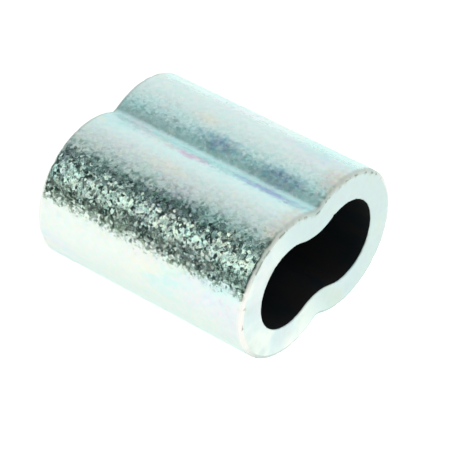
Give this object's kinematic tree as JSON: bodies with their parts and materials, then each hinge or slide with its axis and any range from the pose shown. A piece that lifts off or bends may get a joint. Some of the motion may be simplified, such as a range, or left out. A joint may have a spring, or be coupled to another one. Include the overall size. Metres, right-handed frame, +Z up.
{
  "type": "wire rope swage sleeve",
  "caption": "Hourglass swage sleeve: a short double-barrel metal tube with one figure-eight passage that is crimped around both passes of a wire rope to close an eye.",
  "frame": {"origin": "centre of the sleeve, midway between the two rope channels and midway along its length", "axes": "+X along the rope channels, +Y from the left channel's axis to the right channel's, +Z up through the grooves between the barrels"},
  "size_m": [0.017, 0.0156, 0.0102],
  "materials": {
    "zinc_plate": "satin"
  },
  "bodies": {
    "root": {"sleeve": "zinc_plate"}
  },
  "joints": []
}
